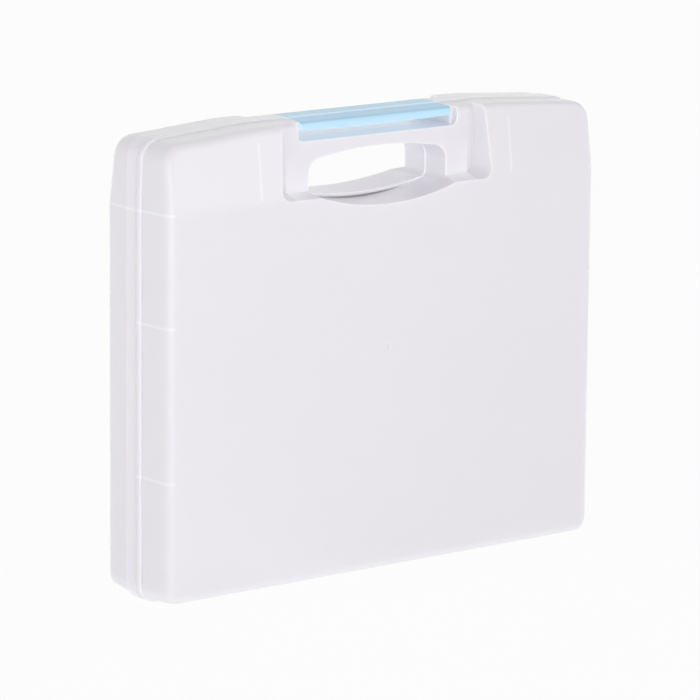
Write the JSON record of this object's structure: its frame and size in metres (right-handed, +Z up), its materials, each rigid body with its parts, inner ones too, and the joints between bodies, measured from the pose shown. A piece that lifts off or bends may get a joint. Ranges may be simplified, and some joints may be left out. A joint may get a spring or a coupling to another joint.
{
  "type": "document carry case",
  "caption": "Slim upright clamshell case for papers, two frosted clear half shells hinged along the bottom, moulded handle opening at the top, blue snap clip over the grip.",
  "frame": {"origin": "on the floor under the middle of the case, in the seam plane of its two halves", "axes": "+X along the case's width, +Y through its thickness towards the rear shell, so the front face looks along -Y, +Z up towards the handle"},
  "size_m": [0.315, 0.06, 0.27],
  "materials": {
    "clear_shell": "frosted translucent polypropylene, milky with a faint lavender cast, soft satin gloss",
    "blue_clip": "pale sky blue polypropylene, smooth and slightly glossy"
  },
  "bodies": {
    "rear_shell": {"rear_shell": "clear_shell"},
    "front_shell": {"front_shell": "clear_shell"},
    "latch_clip": {"latch_clip": "blue_clip"}
  },
  "joints": [
    {"name": "lid_hinge", "type": "hinge", "parent": "rear_shell", "child": "front_shell", "pos_m": [0, 0, 0.002], "axis": [1, 0, 0], "range_deg": [0, 110]},
    {"name": "latch_pivot", "type": "hinge", "parent": "rear_shell", "child": "latch_clip", "pos_m": [0, 0.0145, 0.2648], "axis": [-1, 0, 0], "range_deg": [0, 110]}
  ]
}
